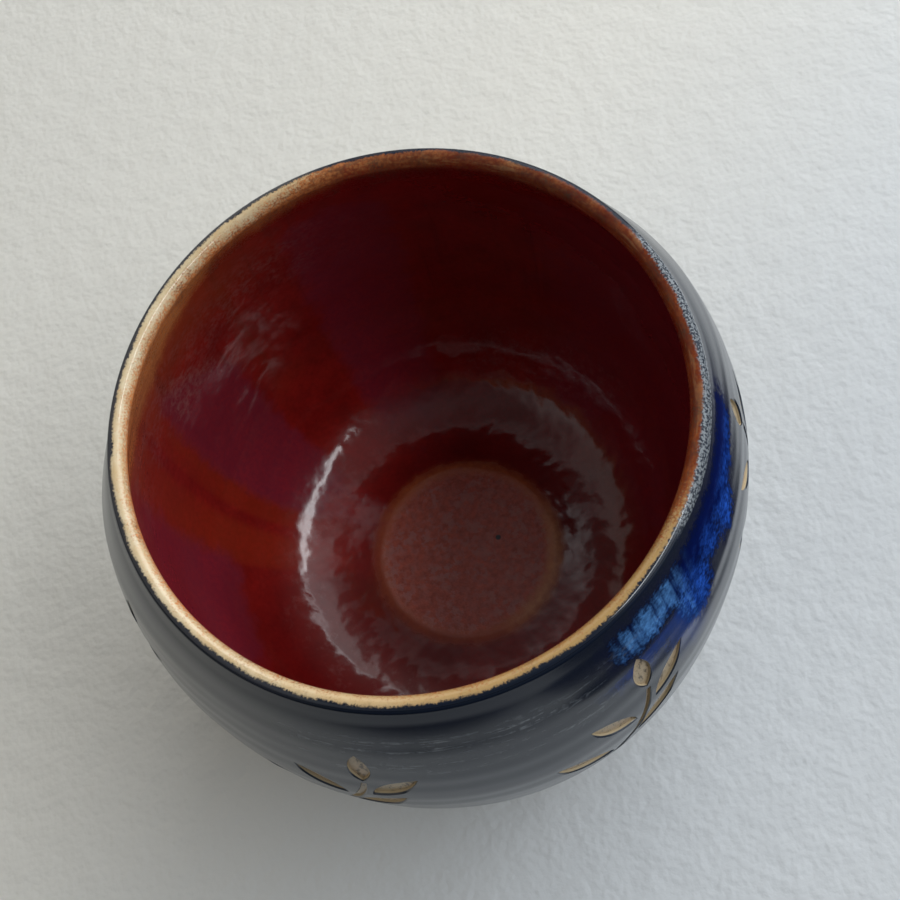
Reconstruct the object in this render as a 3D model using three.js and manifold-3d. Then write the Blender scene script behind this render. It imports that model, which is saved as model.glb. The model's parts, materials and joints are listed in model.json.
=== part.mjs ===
// A hand-thrown stoneware cup with no handle: a round clay body on a turned foot ring,
// with a red glass liner, a cream rim, a black outside coat that is carved through with
// leaf sprays, and a blue pour on one side. Millimetres, +Z up, origin under the foot's centre.

import * as THREE from 'three';
import { mergeVertices } from 'three/addons/utils/BufferGeometryUtils.js';
import Module from 'manifold-3d';

const TURN = Math.PI * 2;
const { degToRad } = THREE.MathUtils;

// Overall sizes of the clay
const clayHeight = 78.5;
const bellyRadius = 46.8;
const bellyHeight = 48;

// Foot ring, and the hollow inside it
const footRadius = 27;
const footRingWidth = 5;
const footHeight = 5;
const footHollow = 4.5;
const footChamfer = 0.7;

// Wall and lip
const wallThickness = 3.8;
const lipOuterRadius = 39.2;
const lipThickness = 1.6;
const lipRound = 1.3;

// How the wall curves. Over 1 the shoulder stays full for longer. Below the belly a lower curve
// is fuller, and a higher power has a rounder bottom and a straighter wall over it.
const shoulderCurve = 1.7;
const undersideCurve = 0.5;
const undersidePower = 2;
const bowlCurve = 0.45;
const bowlPower = 3;

// Floor, with a low round pad in a channel
const floorThickness = 5.6;
const padRadius = 16.4;
const padRise = 1.6;
const padEdge = 0.9;
const channelWidth = 3;

// Glass coats. The liner pools in the channel and runs thin over the pad.
const outerCoat = 0.5;
const rimCoat = 0.5;
const linerCoat = 0.5;
const pooledCoat = 1.6;
const padCoat = 0.4;
const coatChangePower = 4;
const glazeLineAboveFoot = 3;
const rimBandInside = 6;

// Blue pour, set flush in the black coat: a band under the rim, with lobes that run down from it
const pourTopBelowRim = 3.5;
const pourBandWidth = 38;
const pourBandHeight = 6;
const pourLobes = [
  { width: 7, length: 13 },
  { width: 5, length: 5 },
  { width: 6, length: 9 },
];
const pourGap = 0.3;

// Carved design: leaf sprays, cut through the black coat. The pour's lobes run down between two of them.
const sprayCount = 7;
const firstSprayAzimuth = degToRad(26);
const pourAfterSpray = 5.56;
const sprayTopBelowPour = 1.5;
const sprayHeight = 27;
const sprayLean = 8;
const stemWidth = 1.6;
const stemTipWidth = 0.6;
const stemBow = 2.6;
const leafPairs = 2;
const firstPairHeight = 2.7;
const pairSpacing = 9.2;
const pairStagger = 1.9;
const leafLength = 12;
const leafWidth = 4;
const leafFullest = 0.45;
const leafShrink = 0.78;
const leafTilt = degToRad(44);
const leafGap = 0.9;
const tipLeafLength = 8;
const tipLeafWidth = 2.8;

// Facets
const roundSegments = 48;
const wallSteps = 6;
const bowlSteps = 7;
const bowlTopSteps = 4;
const bareWallSteps = 3;
const throatSteps = 2;
const lipSteps = 6;
const blackEdgeStep = 2;
const stemSteps = 4;
const outlineSteps = 3;

// Sizes that follow from the ones above
const lipRoundStart = clayHeight - lipRound;
const lipInnerRadius = lipOuterRadius - lipThickness;
const innerBellyRadius = bellyRadius - wallThickness;
const channelHeight = footHollow + floorThickness;
const padHeight = channelHeight + padRise;
const bowlFootRadius = padRadius + channelWidth;
const glazeLine = footHeight + glazeLineAboveFoot;
const rimBandLow = clayHeight - rimBandInside;
const pourTop = clayHeight - pourTopBelowRim;
const sprayTop = pourTop - pourBandHeight - sprayTopBelowPour;
const sprayAzimuth = (index) => firstSprayAzimuth + (index / sprayCount) * TURN;
const pourAzimuth = sprayAzimuth(pourAfterSpray);

const materials = {
  clay: new THREE.MeshStandardMaterial({ color: 0xd8c8a4, roughness: 0.85, metalness: 0 }),
  red: new THREE.MeshStandardMaterial({ color: 0x6a1012, roughness: 0.08, metalness: 0 }),
  cream: new THREE.MeshStandardMaterial({ color: 0xc9a05a, roughness: 0.15, metalness: 0 }),
  black: new THREE.MeshStandardMaterial({ color: 0x0b0d12, roughness: 0.08, metalness: 0 }),
  blue: new THREE.MeshStandardMaterial({ color: 0x12399a, roughness: 0.15, metalness: 0 }),
};

// Radius of a wall at a height. Under the belly it swells from a foot, by its curve and power,
// and over the belly it leans in to the lip.
function wallRadius(height, wall) {
  if (height < bellyHeight) {
    const drop = (bellyHeight - height) / (bellyHeight - wall.footHeight);
    const swell = Math.pow(Math.max(0, 1 - Math.pow(drop, wall.lowPower)), wall.lowCurve);
    return wall.footRadius + (wall.bellyRadius - wall.footRadius) * swell;
  }
  const rise = (height - bellyHeight) / (lipRoundStart - bellyHeight);
  return wall.bellyRadius - (wall.bellyRadius - wall.lipRadius) * Math.pow(rise, shoulderCurve);
}

const outside = {
  bellyRadius,
  footRadius,
  footHeight,
  lowCurve: undersideCurve,
  lowPower: undersidePower,
  lipRadius: lipOuterRadius,
};

const inside = {
  bellyRadius: innerBellyRadius,
  footRadius: bowlFootRadius,
  footHeight: channelHeight,
  lowCurve: bowlCurve,
  lowPower: bowlPower,
  lipRadius: lipInnerRadius,
};

// Points up a wall between two heights. Under the belly they lie evenly round its curve.
function wallPoints(wall, low, high, steps) {
  return Array.from({ length: steps + 1 }, (_, step) => {
    const share = step / steps;
    const climb = high > bellyHeight ? share : 1 - Math.cos((share * Math.PI) / 2);
    const height = low + (high - low) * climb;
    return new THREE.Vector2(wallRadius(height, wall), height);
  });
}

// Coats change thickness late along a stretch of wall
function lateChange(from, to, share) {
  return from + (to - from) * Math.pow(share, coatChangePower);
}

// The clay's glazed surface, as one line from the glaze line outside, over the lip, to the pad's
// centre. Each point has the thickness of the coat on it, and ends holds where one coat meets the next.
function glazedSurface() {
  const line = [];
  const ends = {};
  const lay = (points, thickness) => {
    points.forEach((point, index) => {
      line.push({ point, thickness: thickness(index / (points.length - 1)) });
    });
  };

  const under = wallPoints(outside, glazeLine, bellyHeight, wallSteps);
  lay(under, () => outerCoat);
  const shoulder = wallPoints(outside, bellyHeight, lipRoundStart, wallSteps).slice(1);
  lay(shoulder, (share) => lateChange(outerCoat, rimCoat, share));

  const lipMiddle = (lipOuterRadius + lipInnerRadius) / 2;
  const lip = Array.from({ length: lipSteps - 1 }, (_, index) => {
    const angle = ((index + 1) / lipSteps) * Math.PI;
    const radius = lipMiddle + (lipThickness / 2) * Math.cos(angle);
    return new THREE.Vector2(radius, lipRoundStart + lipRound * Math.sin(angle));
  });
  ends.black = line.length - 1 + blackEdgeStep;
  lay(lip, () => rimCoat);

  const throat = wallPoints(inside, rimBandLow, lipRoundStart, throatSteps).reverse();
  lay(throat, (share) => lateChange(rimCoat, linerCoat, share));
  ends.cream = line.length - 1;

  const bowlTop = wallPoints(inside, bellyHeight, rimBandLow, bowlTopSteps).reverse().slice(1);
  lay(bowlTop, () => linerCoat);
  const bowl = wallPoints(inside, channelHeight, bellyHeight, bowlSteps).reverse().slice(1);
  lay(bowl, (share) => lateChange(linerCoat, pooledCoat, share));
  lay([new THREE.Vector2(padRadius + padEdge, channelHeight)], () => pooledCoat);
  const pad = [
    new THREE.Vector2(padRadius, padHeight - padEdge / 2),
    new THREE.Vector2(padRadius - padEdge, padHeight),
    new THREE.Vector2(0, padHeight),
  ];
  lay(pad, () => padCoat);
  ends.red = line.length - 1;
  return { line, ends };
}

// The outer face of the coats: each point pushed out of the clay by the coat's thickness
function coatSurface(line) {
  return line.map(({ point, thickness }, index) => {
    if (point.x === 0) return new THREE.Vector2(0, point.y + thickness);
    const before = line[Math.max(0, index - 1)].point;
    const after = line[Math.min(line.length - 1, index + 1)].point;
    const along = after.clone().sub(before).normalize();
    const outward = new THREE.Vector2(along.y, -along.x);
    return point.clone().addScaledVector(outward, thickness);
  });
}

const { line: glazedLine, ends } = glazedSurface();
const clayFace = glazedLine.map(({ point }) => point);
const coatFace = coatSurface(glazedLine);

// A profile turned round the cup's axis
function turned(profile) {
  const geometry = new THREE.LatheGeometry(profile, roundSegments);
  geometry.rotateX(Math.PI / 2);
  return geometry;
}

// A coat between two places on the glazed surface: a closed ring, or a cup that ends on the axis
function coat(from, to) {
  const face = coatFace.slice(from, to + 1);
  const back = clayFace.slice(from, to + 1).reverse();
  const endsOnAxis = to === ends.red;
  return turned(endsOnAxis ? [...back, ...face] : [...face, ...back, face[0]]);
}

function clayBody() {
  const footInner = footRadius - footRingWidth;
  const foot = [
    new THREE.Vector2(0, footHollow),
    new THREE.Vector2(footInner, footHollow),
    new THREE.Vector2(footInner, footChamfer),
    new THREE.Vector2(footInner + footChamfer, 0),
    new THREE.Vector2(footRadius - footChamfer, 0),
    new THREE.Vector2(footRadius, footChamfer),
    new THREE.Vector2(footRadius, footHeight),
  ];
  const bareWall = wallPoints(outside, footHeight, glazeLine, bareWallSteps).slice(1, -1);
  return turned([...foot, ...bareWall, ...clayFace]);
}

const wasm = await Module();
wasm.setup();

// A closed mesh as a solid that can be cut
function solidOf(geometry) {
  const bare = geometry.index ? geometry.toNonIndexed() : geometry.clone();
  bare.deleteAttribute('normal');
  bare.deleteAttribute('uv');
  const merged = mergeVertices(bare);
  return new wasm.Manifold(
    new wasm.Mesh({
      numProp: 3,
      vertProperties: merged.attributes.position.array,
      triVerts: new Uint32Array(merged.index.array),
    }),
  );
}

function geometryOf(solid) {
  const mesh = solid.getMesh();
  const geometry = new THREE.BufferGeometry();
  geometry.setAttribute('position', new THREE.BufferAttribute(new Float32Array(mesh.vertProperties), 3));
  geometry.setIndex(new THREE.BufferAttribute(new Uint32Array(mesh.triVerts), 1));
  geometry.computeVertexNormals();
  return geometry;
}

// A flat outline stood up against the cup's side and pushed through its wall:
// its x runs round the cup, its y runs up, and it faces out at an azimuth
function sideCutter(shape, azimuth, height) {
  const geometry = new THREE.ExtrudeGeometry(shape, {
    depth: bellyRadius,
    bevelEnabled: false,
    curveSegments: outlineSteps,
  });
  const out = new THREE.Vector3(Math.cos(azimuth), Math.sin(azimuth), 0);
  const round = new THREE.Vector3(-out.y, out.x, 0);
  const up = new THREE.Vector3(0, 0, 1);
  const place = new THREE.Matrix4().makeBasis(round, up, out);
  place.setPosition(out.clone().multiplyScalar(bellyRadius / 2).setZ(height));
  geometry.applyMatrix4(place);
  return solidOf(geometry);
}

// The stem's middle line at a height over the spray's foot
function stemPoint(height) {
  const share = height / sprayHeight;
  const bow = stemBow * Math.sin(share * Math.PI);
  return new THREE.Vector2(bow + sprayLean * (share - 0.5), height);
}

function stemShape(top) {
  const left = [];
  const right = [];
  for (let step = 0; step <= stemSteps; step += 1) {
    const share = step / stemSteps;
    const middle = stemPoint(top * share);
    const half = (stemWidth + (stemTipWidth - stemWidth) * share) / 2;
    left.push(new THREE.Vector2(middle.x - half, middle.y));
    right.push(new THREE.Vector2(middle.x + half, middle.y));
  }
  return new THREE.Shape([...right, ...left.reverse()]);
}

// A pointed leaf from a place along an angle, fullest a little before its middle
function leafShape(start, angle, length, width) {
  const along = new THREE.Vector2(Math.cos(angle), Math.sin(angle));
  const across = new THREE.Vector2(-along.y, along.x).multiplyScalar(width);
  const tip = start.clone().addScaledVector(along, length);
  const fullest = start.clone().addScaledVector(along, length * leafFullest);
  const left = fullest.clone().add(across);
  const right = fullest.clone().sub(across);
  const shape = new THREE.Shape();
  shape.moveTo(start.x, start.y);
  shape.quadraticCurveTo(right.x, right.y, tip.x, tip.y);
  shape.quadraticCurveTo(left.x, left.y, start.x, start.y);
  return shape;
}

// One spray over its foot: a bowed stem, pairs of leaves that get smaller up it, and a tip leaf
function sprayShapes() {
  const up = Math.PI / 2;
  const stemTop = sprayHeight - tipLeafLength - leafGap;
  const shapes = [stemShape(stemTop)];
  for (let pair = 0; pair < leafPairs; pair += 1) {
    const size = Math.pow(leafShrink, pair);
    for (const side of [-1, 1]) {
      const stagger = side > 0 ? pairStagger : 0;
      const start = stemPoint(firstPairHeight + pairSpacing * pair + stagger);
      start.x += side * (leafGap + stemWidth / 2);
      shapes.push(leafShape(start, up - side * leafTilt, leafLength * size, leafWidth * size));
    }
  }
  const tipStart = stemPoint(stemTop);
  tipStart.y += leafGap;
  shapes.push(leafShape(tipStart, up, tipLeafLength, tipLeafWidth));
  return shapes;
}

// The pour's outline from its top middle, drawn in by a gap on every side
function pourShape(gap) {
  const half = pourBandWidth / 2 - gap;
  const corner = pourBandHeight / 2;
  const top = -gap;
  const low = gap - pourBandHeight;
  const shape = new THREE.Shape();
  shape.moveTo(half - corner, top);
  shape.lineTo(corner - half, top);
  shape.quadraticCurveTo(-half, top, -half, low + corner);
  shape.quadraticCurveTo(-half, low, corner - half, low);
  const lobesWidth = pourLobes.reduce((sum, lobe) => sum + lobe.width, 0);
  let start = -lobesWidth / 2;
  for (const lobe of pourLobes) {
    const from = start + gap;
    const to = start + lobe.width - gap;
    const tip = low - lobe.length;
    shape.lineTo(from, low);
    shape.bezierCurveTo(from, tip, to, tip, to, low);
    start += lobe.width;
  }
  shape.lineTo(half - corner, low);
  shape.quadraticCurveTo(half, low, half, low + corner);
  shape.quadraticCurveTo(half, top, half - corner, top);
  return shape;
}

const wholeCoat = solidOf(coat(0, ends.black));

function outerGlaze() {
  let solid = wholeCoat.subtract(sideCutter(pourShape(0), pourAzimuth, pourTop));
  for (let spray = 0; spray < sprayCount; spray += 1) {
    for (const shape of sprayShapes()) {
      solid = solid.subtract(sideCutter(shape, sprayAzimuth(spray), sprayTop - sprayHeight));
    }
  }
  return geometryOf(solid);
}

function blueGlazeRun() {
  return geometryOf(wholeCoat.intersect(sideCutter(pourShape(pourGap), pourAzimuth, pourTop)));
}

function piece(name, geometry, material) {
  const mesh = new THREE.Mesh(geometry, material);
  mesh.name = name;
  return mesh;
}

const cup = new THREE.Group();
cup.add(piece('clay_body', clayBody(), materials.clay));
cup.add(piece('liner_glaze', coat(ends.cream, ends.red), materials.red));
cup.add(piece('rim_glaze', coat(ends.black, ends.cream), materials.cream));
cup.add(piece('outer_glaze', outerGlaze(), materials.black));
cup.add(piece('blue_glaze_run', blueGlazeRun(), materials.blue));

export default cup;
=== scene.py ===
"""A hand-thrown cup with a red glass liner, a cream lip, and a black outside that is carved
with leaf sprays and has a blue pour on one side. Lengths are in metres."""

import json
import math
from collections import namedtuple

import bpy
import numpy as np
from bpy.props import FloatProperty, FloatVectorProperty, IntProperty, PointerProperty
from mathutils import Euler, Matrix, Vector

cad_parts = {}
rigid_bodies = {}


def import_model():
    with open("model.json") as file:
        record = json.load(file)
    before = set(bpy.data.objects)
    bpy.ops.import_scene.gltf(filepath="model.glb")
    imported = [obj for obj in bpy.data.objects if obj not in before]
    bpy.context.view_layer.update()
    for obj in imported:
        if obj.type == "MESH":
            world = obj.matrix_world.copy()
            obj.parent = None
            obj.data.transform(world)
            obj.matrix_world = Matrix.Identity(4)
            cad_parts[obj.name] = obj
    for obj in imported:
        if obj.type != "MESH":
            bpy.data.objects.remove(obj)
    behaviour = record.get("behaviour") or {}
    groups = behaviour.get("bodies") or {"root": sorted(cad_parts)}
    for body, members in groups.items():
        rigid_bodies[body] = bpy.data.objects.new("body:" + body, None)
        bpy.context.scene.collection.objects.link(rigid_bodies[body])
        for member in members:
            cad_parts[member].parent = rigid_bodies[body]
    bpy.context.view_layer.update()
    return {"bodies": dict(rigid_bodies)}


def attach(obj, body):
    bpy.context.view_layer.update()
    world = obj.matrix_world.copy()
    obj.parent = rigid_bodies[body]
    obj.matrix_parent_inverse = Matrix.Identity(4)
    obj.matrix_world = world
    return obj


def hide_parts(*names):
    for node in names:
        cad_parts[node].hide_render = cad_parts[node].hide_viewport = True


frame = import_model()
BODY = next(iter(frame["bodies"]))

bl_info = {
    "name": "Thrown Cup",
    "version": (1, 0, 0),
    "blender": (4, 5, 0),
    "location": "3D View > Sidebar > Cup",
    "description": "Models a hand-thrown, carved cup piece by piece, with its glazes and a studio",
    "category": "Object",
}

MM = 0.001
TURN = 2 * math.pi
UP = math.pi / 2
SHARP_ANGLE = math.radians(38)
# Farther than any point of the cup, and a square of a length that is as good as none
FAR = 1.0
NOTHING = 1e-12


def length(name, description, default):
    """A size, with its default in millimetres."""
    return FloatProperty(name=name, description=description, default=default * MM, unit="LENGTH")


def share(name, description, default):
    return FloatProperty(name=name, description=description, default=default)


def degrees(name, description, default):
    return FloatProperty(
        name=name, description=description, default=math.radians(default), subtype="ANGLE"
    )


def colour(name, description, default):
    return FloatVectorProperty(
        name=name, description=description, default=default, subtype="COLOR", min=0, max=1
    )


class CupShape(bpy.types.PropertyGroup):
    """Sizes of the turned clay and of the coats on it."""

    clay_height: length("Clay height", "Height of the clay's lip", 78.5)
    belly_radius: length("Belly radius", "Radius of the clay where it is widest", 46.8)
    belly_height: length("Belly height", "Height of the widest place", 48)
    foot_radius: length("Foot radius", "Outer radius of the foot ring", 27)
    foot_ring_width: length("Foot ring width", "Width of the foot ring", 5)
    foot_height: length("Foot height", "Height of the foot ring's outside", 5)
    foot_hollow: length("Foot hollow", "Depth of the hollow inside the foot ring", 4.5)
    foot_chamfer: length("Foot chamfer", "Softened edge of the foot ring", 0.7)
    wall: length("Wall", "Thickness of the clay at the belly", 3.8)
    lip_radius: length("Lip radius", "Outer radius of the clay's lip", 39.2)
    lip_thickness: length("Lip thickness", "Thickness of the clay's lip", 1.6)
    lip_round: length("Lip round", "Height of the lip's rounded top", 1.3)
    shoulder_curve: share("Shoulder curve", "Over 1 the shoulder stays full for longer", 1.7)
    underside_curve: share("Underside curve", "Under 1 the underside stays full for longer", 0.5)
    underside_power: share("Underside power", "A higher power has a rounder bottom", 2)
    bowl_curve: share("Bowl curve", "Under 1 the bowl stays full for longer", 0.45)
    bowl_power: share("Bowl power", "A higher power has a rounder bottom", 3)
    floor_thickness: length("Floor thickness", "Clay between the foot's hollow and the channel", 5.6)
    pad_radius: length("Pad radius", "Radius of the raised pad in the floor", 16.4)
    pad_rise: length("Pad rise", "Height of the pad over the channel", 1.6)
    channel_width: length("Channel width", "Width of the channel round the pad", 3)
    around: IntProperty(name="Around", description="Steps round a glass coat", default=480, min=24)


class CupCoats(bpy.types.PropertyGroup):
    """Sizes of the glass coats and of what is cut in them."""

    thickness: length("Coat", "Thickness of the glass coats", 0.5)
    pooled: length("Pooled coat", "Thickness of the liner in the channel", 1.6)
    pad: length("Pad coat", "Thickness of the liner over the pad", 0.4)
    glaze_line: length("Glaze line", "Height where the outer coat ends", 8)
    rim_band: length("Rim band", "How far the lip's coat runs down inside", 6)
    black_edge: degrees("Black edge", "Where the black coat ends, up the lip's round", 60)
    bead: length("Bead", "Rise of the black coat's edge over the cream", 0.05)
    ring_rise: length("Ring rise", "Height of the ridge round the pad", 0.08)
    throwing_marks: length("Throwing marks", "Depth of the marks of the potter's fingers", 0.03)
    ripple: length("Ripple", "Unevenness of the liner", 0.16)
    pour_top: length("Pour top", "Height of the blue pour's upper edge", 75)
    pour_width: length("Pour width", "Width of the blue pour's band", 38)
    pour_height: length("Pour height", "Height of the blue pour's band", 6)
    spray_top: length("Spray top", "Height of the leaf sprays' tips", 67.5)
    spray_height: length("Spray height", "Length of a leaf spray", 27)
    sprays: IntProperty(name="Sprays", description="Leaf sprays round the cup", default=7, min=1)
    first_spray: degrees("First spray", "Azimuth of the first leaf spray", 26)
    pour_azimuth: degrees("Pour azimuth", "Azimuth of the blue pour's middle", 311.943)


class CupColours(bpy.types.PropertyGroup):
    """Colours of the clay, the glazes and the studio."""

    clay: colour("Clay", "Bare fired clay", (0.50, 0.40, 0.26))
    scratch: colour("Scratch", "Glaze left in the carving's scratches", (0.07, 0.05, 0.035))
    red: colour("Red", "The liner where it is evenly thick", (0.36, 0.016, 0.012))
    # Dark red is also painted as shade: on the liner's right side, low in the bowl towards the lower
    # left, and over the lip's rust to the right
    dark_red: colour("Dark red", "The liner where it pools", (0.075, 0.003, 0.004))
    purple: colour("Purple", "Purple patches in the liner", (0.24, 0.024, 0.050))
    orange: colour("Orange", "Thin streaks that run down from the lip", (0.33, 0.030, 0.010))
    # Milk is also painted as a reflection in a ring round the bowl's floor, and as glints on the pad
    milk: colour("Milk", "Milky streaks in the liner", (0.33, 0.16, 0.15))
    pad_brown: colour("Pad brown", "The thin coat over the pad", (0.47, 0.105, 0.060))
    rust: colour("Rust", "Where the cream thins into the red", (0.40, 0.110, 0.030))
    # Partly painted light: the rust's own colour, brightened on the left inside the lip, where the band
    # lies in the lip's shade
    copper: colour("Copper", "Thin, bright rust inside the cream on the left", (0.72, 0.24, 0.07))
    golden: colour("Golden", "The lip's coat on the near right", (0.42, 0.26, 0.10))
    cream: colour("Cream", "The lip's coat", (0.56, 0.37, 0.17))
    pale_cream: colour("Pale cream", "Thick places of the lip's coat", (0.74, 0.62, 0.42))
    black: colour("Black", "The outside coat", (0.009, 0.014, 0.025))
    # Painted reflection: the outside made greyer and bluer towards the bottom, as it mirrors the floor
    slate: colour("Slate", "The outside coat under the shoulder", (0.024, 0.031, 0.047))
    navy: colour("Navy", "The black coat near the blue pour", (0.003, 0.006, 0.032))
    cobalt: colour("Cobalt", "The blue pour", (0.002, 0.006, 0.060))
    bright_blue: colour("Bright blue", "Mottles in the blue pour", (0.020, 0.095, 0.50))
    sky_blue: colour("Sky blue", "The pour's broken lower edge", (0.10, 0.28, 0.62))
    # This grey is painted highlight on the black coat's edge, glints of light on its grains, and it also
    # colours the pale flecks
    frost: colour("Frost", "Crystals on the black coat's edge", (0.23, 0.25, 0.27))
    floor: colour("Floor", "The floor that the cup stands on", (0.70, 0.68, 0.63))
    # Painted shade: the floor cooler and darker towards its near right corner
    cool_floor: colour("Cool floor", "The floor towards its near right corner", (0.615, 0.635, 0.655))


def shape():
    return bpy.context.scene.cup_shape


def coats():
    return bpy.context.scene.cup_coats


def paint(name):
    """One of the cup's colours, with its alpha."""
    return (*getattr(bpy.context.scene.cup_colours, name), 1)


# Profiles

Wall = namedtuple("Wall", "belly_radius foot_radius foot_height curve power lip_radius")


def lip_base():
    """Height where the lip's rounded top starts."""
    return shape().clay_height - shape().lip_round


def outside_wall():
    s = shape()
    return Wall(
        s.belly_radius, s.foot_radius, s.foot_height, s.underside_curve, s.underside_power, s.lip_radius
    )


def inside_wall():
    s = shape()
    return Wall(
        s.belly_radius - s.wall,
        s.pad_radius + s.channel_width,
        s.foot_hollow + s.floor_thickness,
        s.bowl_curve,
        s.bowl_power,
        s.lip_radius - s.lip_thickness,
    )


def wall_radius(height, wall):
    """Radius of a wall at a height: a swell from the foot, and over the belly a lean in to the lip."""
    s = shape()
    if height < s.belly_height:
        drop = (s.belly_height - height) / (s.belly_height - wall.foot_height)
        swell = max(0, 1 - drop ** wall.power) ** wall.curve
        return wall.foot_radius + (wall.belly_radius - wall.foot_radius) * swell
    rise = (height - s.belly_height) / (lip_base() - s.belly_height)
    return wall.belly_radius - (wall.belly_radius - wall.lip_radius) * rise ** s.shoulder_curve


def under_belly(wall, low, steps):
    """Points up a wall from a low height to the belly, evenly round its curve."""
    s = shape()
    span = s.belly_height - wall.foot_height
    start = math.acos(min(1, (s.belly_height - low) / span))
    points = []
    for step in range(steps + 1):
        angle = start + (UP - start) * step / steps
        height = s.belly_height - span * math.cos(angle)
        points.append(Vector((wall_radius(height, wall), height)))
    return points


def wall_points(wall, low, high, steps):
    """Points up a wall between two heights over the belly."""
    heights = [low + (high - low) * step / steps for step in range(steps + 1)]
    return [Vector((wall_radius(height, wall), height)) for height in heights]


def lip_point(angle):
    """A point of the clay's rounded lip. Its angle starts outside and goes up and over."""
    s = shape()
    half = s.lip_thickness / 2
    middle = Vector((s.lip_radius - half, lip_base()))
    return middle + Vector((half * math.cos(angle), s.lip_round * math.sin(angle)))


def lip_points(start, end, steps):
    return [lip_point(start + (end - start) * step / steps) for step in range(steps + 1)]


def outward(line, index):
    """The way out of the clay, which lies to the left of a line's way up and over, at a point."""
    before = line[max(0, index - 1)]
    after = line[min(len(line) - 1, index + 1)]
    way = (after - before).normalized()
    return Vector((way.y, -way.x))


def pushed_out(line, thickness):
    """A line moved out of the clay by a thickness, which takes the share of the way along it."""
    last = len(line) - 1
    return [
        point + outward(line, index) * thickness(index / last) for index, point in enumerate(line)
    ]


def smooth(value, low, high):
    """0 under low, 1 over high and a smooth step between them."""
    part = np.clip((value - low) / (high - low), 0, 1)
    return part * part * (3 - 2 * part)


def between(value, low, full, fading, high):
    """0 under low and over high, 1 from full to where it starts fading, and smooth steps."""
    return smooth(value, low, full) * (1 - smooth(value, fading, high))


def even(_):
    return coats().thickness


# Depths of the finger marks up the outside: pairs of a wave's height and its share
FINGER_MARKS = ((3.9 * MM, 0.6), (6.7 * MM, 0.8), (13.1 * MM, 1.0))


def finger_marks(height):
    """Rise of the throwing rings at a height. They fade at the lip and at the glaze line."""
    c = coats()
    wave = sum(part * math.sin(TURN * height / size + size / MM) for size, part in FINGER_MARKS)
    return c.throwing_marks * wave * between(height, c.glaze_line, 20 * MM, 66 * MM, 75 * MM)


def black_lines():
    """The clay under the black coat, and the coat's face, up to its edge on the lip."""
    s = shape()
    c = coats()
    wall = outside_wall()
    clay = under_belly(wall, c.glaze_line, steps=56)
    clay += wall_points(wall, s.belly_height, lip_base(), steps=52)[1:]
    clay += lip_points(0, c.black_edge, steps=10)[1:]
    face = [
        point + outward(clay, index) * (finger_marks(point.y) + bead_rise(point))
        for index, point in enumerate(pushed_out(clay, even))
    ]
    # The glass fills the corner where the lip's round stands on the leaning wall
    corner = s.clay_height - 3 * MM
    points_past_corner = 6
    first = next(index for index, point in enumerate(face) if point.y > corner)
    last = len(face) - points_past_corner
    low, high = face[first], face[last]
    for index in range(first + 1, last):
        part = (face[index].y - low.y) / (high.y - low.y)
        face[index] = low + (high - low) * part
    return clay, face


def bead_rise(point):
    """Rise of the bead where the black coat ends on the lip, shared by the coats on both sides."""
    s = shape()
    c = coats()
    below_lip, inside_lip = 4 * MM, 1.5 * MM
    if point.y < s.clay_height - below_lip or point.x < s.lip_radius - inside_lip:
        return 0
    angle = math.atan2(point.y - lip_base(), point.x - (s.lip_radius - s.lip_thickness / 2))
    behind_edge, width = 0.10, 0.34
    far = (angle - c.black_edge + behind_edge) / width
    return c.bead * math.exp(-far * far)


def cream_lines():
    """The clay under the cream coat, and the coat's face, from the black edge over the lip."""
    s = shape()
    c = coats()
    clay = lip_points(c.black_edge, math.pi, steps=26)
    clay += wall_points(inside_wall(), s.clay_height - c.rim_band, lip_base(), steps=16)[::-1][1:]
    face = [
        point + outward(clay, index) * bead_rise(point)
        for index, point in enumerate(pushed_out(clay, even))
    ]
    return clay, face


# Points of the clay's line that cross the pad, from its edge to its middle
PAD_POINTS = 4


def red_lines():
    """The clay under the liner, and the liner's face, from the cream coat down to the pad's middle."""
    s = shape()
    c = coats()
    wall = inside_wall()
    top = wall_points(wall, s.belly_height, s.clay_height - c.rim_band, steps=50)[::-1]
    bowl = under_belly(wall, wall.foot_height, steps=84)[::-1]
    face = pushed_out(top, even)
    face += pushed_out(bowl, lambda part: c.thickness + (c.pooled - c.thickness) * part ** 4)[1:]
    pad_low = wall.foot_height
    pad_high = pad_low + s.pad_rise
    edge = 0.9 * MM
    clay = top + bowl[1:]
    clay += [
        Vector((s.pad_radius + edge, pad_low)),
        Vector((s.pad_radius, pad_high - edge / 2)),
        Vector((s.pad_radius - edge, pad_high)),
        Vector((0, pad_high)),
    ]
    glass_dip = 0.1 * MM
    glass_low = pad_low + c.pooled - glass_dip
    glass_high = pad_high + c.pad
    inner = s.pad_radius - 2.0 * MM
    outer = s.pad_radius + 3.6 * MM
    ridge_radius = s.pad_radius - 0.75 * MM
    ridge_width = 1.0 * MM
    levelled_over = 3 * MM
    start = face[-1]
    steps = 44
    for step in range(1, steps + 1):
        radius = start.x * (1 - step / steps)
        climb = 1 - smooth(radius, inner, outer)
        ridge = math.exp(-(((radius - ridge_radius) / ridge_width) ** 2))
        level = start.y + (glass_low - start.y) * smooth(start.x - radius, 0, levelled_over)
        height = level + (glass_high - glass_low) * climb + c.ring_rise * ridge
        face.append(Vector((radius, height)))
    return clay, face


def thinned(line, keep_every):
    """A line with only some of its points, and both of its ends."""
    return line[:-1:keep_every] + [line[-1]]


# Modelling

def only(*chosen):
    """Selects these objects and nothing else, and makes the first one active."""
    bpy.ops.object.select_all(action="DESELECT")
    for each in chosen:
        each.select_set(True)
    bpy.context.view_layer.objects.active = chosen[0]


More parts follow.
